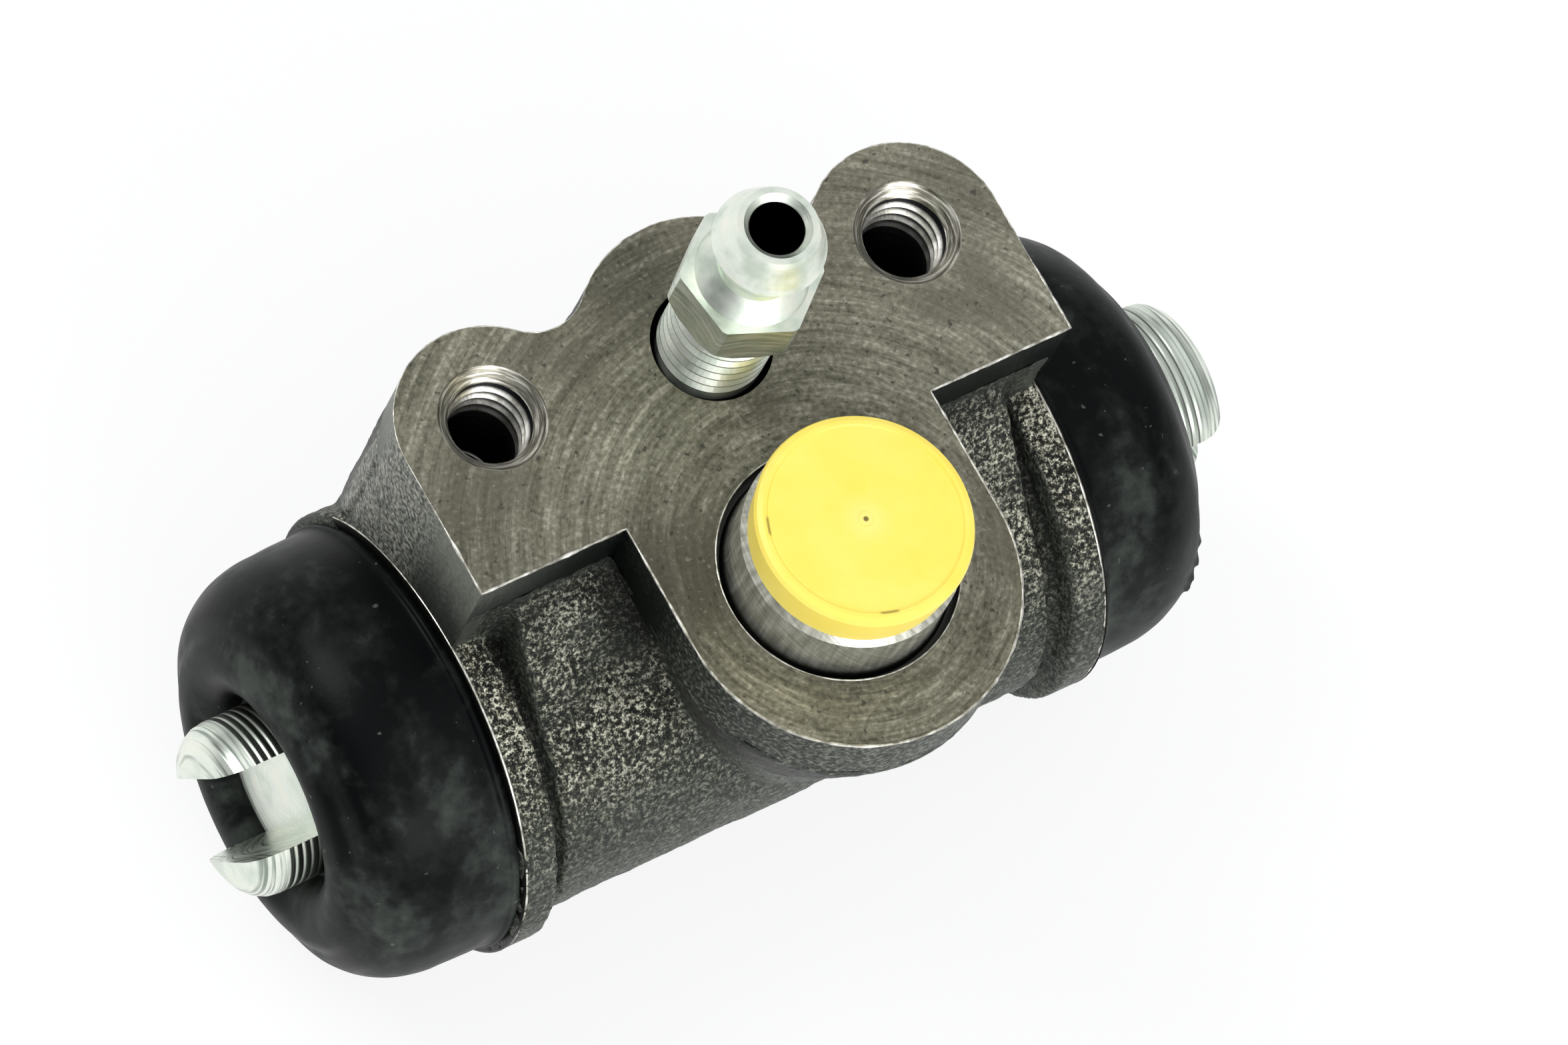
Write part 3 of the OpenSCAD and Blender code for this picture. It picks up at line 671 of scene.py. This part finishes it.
def thread(name, centre, radii, ends, material, **options):
    """A thread's ridge wound on a wall; it fades out at both ends."""
    root, crest = radii
    bottom, top = ends
    turns = (top - bottom) / THREAD_PITCH - 1
    count = int(turns * THREAD_STEPS) + 1
    shape = ((root, -0.5), (crest, -CREST_FLAT), (crest, CREST_FLAT), (root, 0.5))
    vertices = []
    for i in range(count):
        turn = i / THREAD_STEPS
        angle = 2 * math.pi * turn
        full = min(1.0, turn / RUN_OUT, (turns - turn) / RUN_OUT)
        for radius, offset in shape:
            r = root + (radius - root) * max(full, 0.0)
            z = bottom + THREAD_PITCH * (turn + 0.5 + offset)
            vertices.append((centre[0] + r * math.cos(angle), centre[1] + r * math.sin(angle), z))
    faces = rows_to_faces(count, len(shape))
    if crest < root:
        faces = [f[::-1] for f in faces]
    return new_piece(name, vertices, faces, material, smooth=False, **options)


def wobble(point, size, seed=0.0):
    """Smooth noise from -1 to 1 at a point in millimetres."""
    return noise.noise(Vector(point) / size + Vector((seed, -seed, 2 * seed)))


def clamped(value):
    return min(1.0, max(0.0, value))


# Casting: exact machined surfaces, and a rounded skin with a cast grain

FACE, WALL, TURNED, SINK, HOLE, GAP, OTHER = range(7)
# How near counts as touching, and a radius just past the bore's chamfers
TOUCH = 0.01
BORE_LIMIT_R = 9.4
# Sharpest angle in radians between faces that are shaded as one
SMOOTH_ANGLE = 0.45
# Radii within which the bore, the bolt holes, the inlet and the bleed hole need no cast skin
SKIP_BORE_R, SKIP_BOLT_R, SKIP_PORT_R, SKIP_BLEED_R = 10.4, 3.2, 5.4, 3.6
# How far up the cast skin goes inside the slab, and how far its source does
SKIN_LAP, SOURCE_LAP = 0.75, 0.9
# Cell of the even mesh under the cast skin, and how often it is smoothed
VOXEL, SOFTEN_STEPS = 0.26, 4
# Height, size and seed of the lumps of the cast skin
LUMPS = ((0.08, 2.6, 0.0), (0.06, 1.1, 3.1), (0.05, 0.5, 7.7))
# How far the skin stands out, sinks at the ears' sides, and stays inside the rims
SKIN_RISE, EAR_SINK, RIM_SINK = 0.02, -0.12, 0.03
# Centre, size and height of the uneven places where the barrel runs into the inlet's boss
SADDLE_DENTS = (((-13.2, 5.8, -6.9), 1.3, 0.35), ((-12.0, 2.4, -10.2), 1.6, -0.5),
                ((-11.3, 0.6, -12.0), 1.2, -0.3))
# Height of the middle of the bright edges on the mounting face
EDGE_Z = -0.03


def hole_kind(face):
    """Material of a face of a hole, of an ear's side, of the bore or of a neck; None for any other."""
    points = [v.co for v in face.verts]
    top = max(p.z for p in points)

    def within(x, y, radius):
        return all(math.hypot(p.x - x, p.y - y) < radius + TOUCH for p in points)
    if all(abs(abs(p.x) - EAR_X) < TOUCH for p in points):
        return WALL
    if all(abs(p.x) > HALF_LEN - TOUCH for p in points):
        return TURNED
    if all(math.hypot(p.y - AXIS_Y, p.z - AXIS_Z) < BORE_LIMIT_R for p in points):
        return TURNED
    if top < TOUCH and min(p.z for p in points) < -0.05:
        for x, y in BOLTS:
            if within(x, y, BOLT_MOUTH_R):
                return SINK if 0.2 < face.normal.z < 0.99 else HOLE
        if within(0.0, BLEED_Y, BLEED_MOUTH_R):
            return GAP
    if within(0.0, 0.0, PORT_MOUTH_R):
        return GAP if top < PORT_STEP_Z + 0.1 else TURNED
    return None


def machined_piece(materials):
    """The pad with its holes, spigot and trimmed walls, the bore and the necks; returns the pad's outline.

    The walls of the bolt holes are left out, because threads line them.
    """
    bm = node_mesh("housing")
    kinds = {f: hole_kind(f) for f in bm.faces}
    for face, kind in kinds.items():
        face.material_index = OTHER if kind is None else kind
    tapped = [f for f, kind in kinds.items() if kind == HOLE and abs(f.normal.z) < 0.1]
    bmesh.ops.delete(bm, geom=tapped, context="FACES_ONLY")
    rest = [f for f in bm.faces if f.material_index == OTHER]
    corners = list({v for f in rest for v in f.verts})
    edges = list({e for f in rest for e in f.edges})
    bmesh.ops.bisect_plane(bm, geom=corners + edges + rest, dist=1e-5,
                           plane_co=(0, 0, -SLAB_T), plane_no=(0, 0, 1))
    lower = [f for f in bm.faces if f.material_index == OTHER and f.calc_center_median().z < -SLAB_T]
    bmesh.ops.delete(bm, geom=lower, context="FACES")
    bm.normal_update()
    for face in bm.faces:
        if face.material_index == OTHER:
            centre = face.calc_center_median()
            if math.hypot(centre.x, centre.y) < RELIEF_R + TOUCH:
                face.material_index = TURNED
            else:
                face.material_index = FACE if face.normal.z > 0.9 else WALL
        face.smooth = True
    for edge in bm.edges:
        edge.smooth = len(edge.link_faces) == 2 and edge.calc_face_angle() < SMOOTH_ANGLE
    outline = [(e.verts[0].co.copy(), e.verts[1].co.copy()) for e in bm.edges
               if sorted(f.material_index for f in e.link_faces) == [FACE, WALL]]
    piece = object_from(bm, "housing_machined", materials)
    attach(piece, "housing")
    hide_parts("housing")
    return outline


def in_a_hole(point):
    """True where the cast skin is left out: in the bore, in line with the drilled holes and up the slab.

    Known fault: the test for the bolt holes has no lower limit, so it also opens the barrel below them.
    """
    x, y, z = point
    return (math.hypot(y - AXIS_Y, z - AXIS_Z) < SKIP_BORE_R
            or any(math.hypot(x - bx, y - by) < SKIP_BOLT_R for bx, by in BOLTS)
            or (math.hypot(x, y) < SKIP_PORT_R and z > AXIS_Z)
            or (math.hypot(x, y - BLEED_Y) < SKIP_BLEED_R and z > AXIS_Z)
            or z > -SLAB_T + SKIN_LAP)


def even_casting():
    """The casting below its pad and between its necks, evenly meshed and softened, in millimetres."""
    bm = node_mesh("housing")
    for point, normal in (((0, 0, -SLAB_T + SOURCE_LAP), (0, 0, 1)), ((HALF_LEN, 0, 0), (1, 0, 0)),
                          ((-HALF_LEN, 0, 0), (-1, 0, 0))):
        cut_away(bm, point, normal, dist=1e-5)
    mesh = bpy.data.meshes.new("housing_cast_source")
    bm.to_mesh(mesh)
    bm.free()
    source = add_object("housing_cast_source", mesh)
    remesh = source.modifiers.new("remesh", "REMESH")
    remesh.mode = "VOXEL"
    remesh.voxel_size = VOXEL
    soften = source.modifiers.new("soften", "SMOOTH")
    soften.factor = 0.5
    soften.iterations = SOFTEN_STEPS
    even = bpy.data.meshes.new_from_object(source.evaluated_get(bpy.context.evaluated_depsgraph_get()))
    bpy.data.objects.remove(source)
    bm = bmesh.new()
    bm.from_mesh(even)
    bpy.data.meshes.remove(even)
    return bm


def cast_piece(material):
    """The cast part of the housing with rounded edges and a lumpy surface."""
    bm = even_casting()
    inner = [v for v in bm.verts if in_a_hole(v.co)]
    bmesh.ops.delete(bm, geom=inner, context="VERTS")
    bm.normal_update()
    for vert in bm.verts:
        lump = sum(height * wobble(vert.co, size, seed) for height, size, seed in LUMPS)
        dents = sum(height * math.exp(-((vert.co - Vector(spot)).length / size) ** 2)
                    for spot, size, height in SADDLE_DENTS)
        on_ear = abs(vert.co.x) > EAR_X - 0.5 and vert.co.z > AXIS_Z + 8 and abs(vert.normal.x) > 0.5
        vert.co += vert.normal * (EAR_SINK if on_ear else SKIN_RISE + lump + dents)
        across = Vector((0, vert.co.y - AXIS_Y, vert.co.z - AXIS_Z))
        if vert.co.z < AXIS_Z and across.length > RIM_R - RIM_SINK:
            vert.co -= across * (1 - (RIM_R - RIM_SINK) / across.length)
    for face in bm.faces:
        face.smooth = True
    piece = object_from(bm, "housing_cast", [material])
    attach(piece, "housing")
    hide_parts("housing")


def ordered_loop(edges):
    """The points of a closed outline in order."""
    def key(point):
        return (round(point.x, 3), round(point.y, 3))
    links = {}
    for a, b in edges:
        links.setdefault(key(a), []).append(key(b))
        links.setdefault(key(b), []).append(key(a))
    start = next(iter(links))
    line, before = [start], None
    while True:
        step = [k for k in links[line[-1]] if k != before]
        if not step or step[0] == start:
            return line
        before = line[-1]
        line.append(step[0])


def resampled(line, gap):
    """Points along a closed line, about gap apart, with its corners kept."""
    points = []
    for (ax, ay), (bx, by) in zip(line, line[1:] + line[:1]):
        count = max(1, round(math.dist((ax, ay), (bx, by)) / gap))
        points += [(ax + (bx - ax) * i / count, ay + (by - ay) * i / count) for i in range(count)]
    return points


def face_burr(outline, material):
    """The uneven burr that facing leaves along the pad's edge, thinner at the back, with a bright colour
    that is partly a painted highlight.
    """
    line = [(x, y, EDGE_Z) for x, y in resampled(ordered_loop(outline), 0.3)]
    radii = []
    for point in line:
        front = 1.0 if point[1] < 12 else 0.45
        radii.append(front * (0.10 + 0.05 * wobble(point, 1.3) + 0.04 * wobble(point, 0.5, 4.0)))
    bead("face_burr", line, radii, material)


def relief_edge(material):
    """The outer edge of the groove round the spigot, a bead coloured bright as a painted highlight."""
    count = 180
    angles = [2 * math.pi * k / count for k in range(count)]
    line = [(RELIEF_R * math.cos(a), RELIEF_R * math.sin(a), EDGE_Z) for a in angles]
    radii = [0.06 + 0.025 * wobble(p, 1.5, 2.0) for p in line]
    bead("relief_edge", line, radii, material)


def rim_edges(material):
    """The turned corner of each rim, beside the boot, coloured bright as a painted highlight."""
    profile = [(HALF_LEN - back, RIM_R - inset) for back, inset in
               ((0.26, 0.3), (0.26, 0.1), (0.14, 0.04), (0.0, 0.12), (0.0, 0.6))]
    for side, name in ((-1, "left_rim_edge"), (1, "right_rim_edge")):
        lathe(name, profile, side, material, segments=200,
              shift=lambda s, r, a: 0.02 * wobble((4 * math.cos(a), 4 * math.sin(a), s), 1.0))


# Boots and return spring

# Where a boot's shoulder starts, radius of its crest, rise of the shoulder above it
SHOULDER_S, CREST_R, SHOULDER_RISE = 25.4, 8.5, 5.48
# Radius, width and depth of the shallow valley in the shoulder
VALLEY_R, VALLEY_W, VALLEY_DEPTH = 10.9, 0.7, 0.28
# Reach and angle in degrees of small torn nibs of flash on the right boot, then their size
RIGHT_NIBS = ((30.6, 161.0), (30.2, 168.0), (29.7, 172.5), (29.4, 175.5))
NIB_HEIGHT, NIB_LENGTH, NIB_WIDTH = 0.4, 0.3, 0.4
# Side, node, piston, seed, then the shoulder's power and the lip's end and start, and the nibs
BOOTS = ((-1, "left_boot", "left_piston", 1.7, (2.1, 29.45, 27.4), ()),
         (1, "right_boot", "right_piston", 5.3, (1.9, 31.2, 29.2), RIGHT_NIBS))


def boot_profile(power, lip_end, lip_start):
    """Closed profile of a boot as (reach, radius): flange, side, shoulder, crest, roll, lip and inside."""
    side = [(HALF_LEN + step, radius) for step, radius in
            ((0.02, 13.3), (0.02, 13.95), (0.1, 14.18), (0.3, 14.28), (0.55, 14.26), (0.7, 14.1),
             (1.0, 14.04), (2.0, 14.05), (3.1, 14.03))]
    shoulder = []
    for step in range(13):
        u = math.sin(math.pi / 2 * step / 12)
        radius = CREST_R + SHOULDER_RISE * (1 - u ** power) ** (1 / power)
        valley = VALLEY_DEPTH * math.exp(-((radius - VALLEY_R) / VALLEY_W) ** 2)
        shoulder.append((SHOULDER_S + (CREST_S - SHOULDER_S) * u - valley, radius))
    depth = CREST_S - lip_end
    roll = [(CREST_S - depth * part, radius) for part, radius in
            ((0.08, 7.8), (0.28, 7.0), (0.54, 6.5), (0.8, 6.25), (0.98, 6.15))]
    lip = [(lip_end, 6.0), (lip_end, 5.2), (lip_start, 5.2), (lip_start, 7.6)]
    inside = [(max(lip_start + 0.6, 28.9), 7.7), (30.0, 8.1), (30.2, 8.7), (30.0, 9.4), (29.5, 10.2),
              (28.8, 11.0), (27.9, 11.7), (26.9, 12.2), (26.1, 12.4), (26.05, 11.15),
              (HALF_LEN + 0.02, 11.15)]
    return smooth_line(side + shoulder + roll, 5) + lip + inside


def boot_skin(seed, nibs):
    """The uneven skin of a boot between its flange and its lip, with nibs of flash, for lathe."""
    def shift(reach, radius, angle):
        free = clamped((reach - 22.2) / 2) * clamped((radius - 6.8) / 1.5)
        at = (radius * math.cos(angle), radius * math.sin(angle), reach)
        flash = 0.0
        for nib_reach, nib_angle in nibs:
            along = (reach - nib_reach) / NIB_LENGTH
            across = (angle - math.radians(nib_angle)) * radius / NIB_WIDTH
            flash += NIB_HEIGHT * math.exp(-along ** 2 - across ** 2)
        return free * (0.09 * wobble(at, 6.0, seed) + 0.02 * wobble(at, 1.6, seed)) + flash
    return shift


def boots(material):
    """Moulded boots, each one fixed mesh in place of the imported boot."""
    for side, node, body, seed, form, nibs in BOOTS:
        piece = lathe(node + "_moulded", boot_profile(*form), side, material, segments=280,
                      shift=boot_skin(seed, nibs), body=None, slot="boot_rubber")
        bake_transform(piece)
        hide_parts(node)


def spring_halves(material):
    """The return spring in two halves, each cut from it and kept as a fixed mesh."""
    for side, end, body in ((-1, "left", "left_piston"), (1, "right", "right_piston")):
        bm = node_mesh("return_spring")
        cut_away(bm, (PISTON_SHIFT, 0, 0), (-side, 0, 0), dist=1e-4)
        piece = object_from(bm, f"{end}_half_spring", [material])
        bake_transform(piece)
        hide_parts("return_spring")


# Light, floor and camera

# Half the floor's width in metres, and the share of plain white in what the camera sees of it
FLOOR_HALF, FLOOR_WHITE = 3.0, 0.82
# Point in metres that the lights aim at, then each light's name, place, width and height, and power
LIGHT_AIM = (0, 0.005, -0.01)
LIGHTS = (("key", (-0.45, 0.55, 0.75), (0.5, 0.5), 5.0),
          ("fill", (-0.1, -0.8, 0.35), (0.6, 0.3), 3.0))
# Camera fitted to the photo: azimuth, elevation and roll in degrees, lens and sensor in millimetres,
# the point that it looks at in millimetres and its distance from there in metres
CAMERA_ANGLES = (-58.424, 64.002, 31.147)
CAMERA_LENS, CAMERA_SENSOR = 303.437, 36.0
CAMERA_AIM = (2.343, 6.291, -10.0)
CAMERA_DISTANCE = 0.81763


def make_floor(level):
    """White floor that keeps the part's soft shadow."""
    mesh = bpy.data.meshes.new("floor")
    corners = [(sx * FLOOR_HALF, sy * FLOOR_HALF, level) for sx, sy in ((-1, -1), (1, -1), (1, 1), (-1, 1))]
    mesh.from_pydata(corners, [], [(0, 1, 2, 3)])
    floor = add_object("floor", mesh)
    g = Graph("floor_white")
    path = g.add("ShaderNodeLightPath").outputs
    seen = g.larger(path["Is Camera Ray"], g.larger(path["Is Glossy Ray"], path["Is Transmission Ray"]))
    matte = g.add("ShaderNodeBsdfDiffuse", {"Color": (0.92, 0.93, 0.94, 1)})
    glow = g.add("ShaderNodeEmission", {"Color": (1, 1, 1, 1), "Strength": 1.0})
    shown = g.add("ShaderNodeMixShader", {0: g.product(seen, FLOOR_WHITE), 1: matte.outputs[0],
                                          2: glow.outputs[0]})
    g.show(shown, "ShaderNodeOutputMaterial")
    mesh.materials.append(g.material)


def make_world():
    """Soft surround: dim all round, bright overhead and at the front."""
    world = bpy.data.worlds.new("studio")
    bpy.context.scene.world = world
    world.use_nodes = True
    g = Graph(None, world.node_tree)
    direction = g.add("ShaderNodeTexCoord").outputs["Generated"]
    level = 0.22
    for aim, outer, inner, strength in (((0.3, 0.35, 1.0), 0.2, 0.9, 0.65),
                                        ((-0.1, -0.85, 0.45), 0.45, 0.95, 0.9)):
        near = g.towards(direction, Vector(aim).normalized())
        level = g.total(level, g.product(g.fade(near, outer, inner), strength))
    back = g.add("ShaderNodeBackground", {"Color": (0.98, 0.99, 1.0, 1), "Strength": level})
    g.show(back, "ShaderNodeOutputWorld")


def make_lights():
    """Two rectangular lights, aimed at the part."""
    for name, place, size, power in LIGHTS:
        data = bpy.data.lights.new(name, "AREA")
        data.shape = "RECTANGLE"
        data.size, data.size_y = size
        data.energy = power
        lamp = add_object(name, data)
        lamp.location = place
        lamp.rotation_mode = "QUATERNION"
        lamp.rotation_quaternion = (Vector(LIGHT_AIM) - Vector(place)).to_track_quat("-Z", "Y")


def make_camera():
    """The camera at the photo's angle."""
    azimuth, elevation, roll = (math.radians(a) for a in CAMERA_ANGLES)
    back = Vector((math.sin(azimuth) * math.cos(elevation), -math.cos(azimuth) * math.cos(elevation),
                   math.sin(elevation)))
    data = bpy.data.cameras.new("camera")
    data.sensor_width = CAMERA_SENSOR
    data.lens = CAMERA_LENS
    camera = add_object("camera", data)
    camera.location = Vector(CAMERA_AIM) * MM + back * CAMERA_DISTANCE
    camera.rotation_mode = "QUATERNION"
    camera.rotation_quaternion = (-back).to_track_quat("-Z", "Y") @ Quaternion((0, 0, 1), roll)
    bpy.context.scene.camera = camera


# The scene

def dress(node, material):
    """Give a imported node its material."""
    nodes[node].data.materials.clear()
    nodes[node].data.materials.append(material)


bright, hole = iron_edge_highlight(), iron_hole()
gap = iron_gap()
pad_outline = machined_piece([iron_face(), iron_wall(), iron_turned(), iron_sink(), hole, gap])
cast_piece(iron_cast())
# Beads on the edges: real burrs and corners, their bright colour a painted highlight.
face_burr(pad_outline, bright)
relief_edge(bright)
rim_edges(bright)
for number, spot in enumerate(BOLTS):
    thread(f"bolt_thread_{number + 1}", spot, *BOLT_THREAD, hole)
thread("port_thread", (0.0, 0.0), *PORT_THREAD, gap)

screw_zinc = zinc_screw()
dress("bleed_screw", screw_zinc)
thread("bleed_thread", (0.0, BLEED_Y), *BLEED_THREAD, screw_zinc, body="bleed_screw", slot="screw_steel")
piston_zinc = zinc_piston()
seal = seal_rubber()
for end in ("left", "right"):
    dress(f"{end}_piston", piston_zinc)
    dress(f"{end}_cup", seal)
spring_halves(spring_wire())
dress("port_plug", plug_plastic())
boots(boot_rubber())

make_floor(cad_box[0].z)
make_world()
make_lights()
make_camera()

view = bpy.context.scene.view_settings
view.view_transform = "Standard"
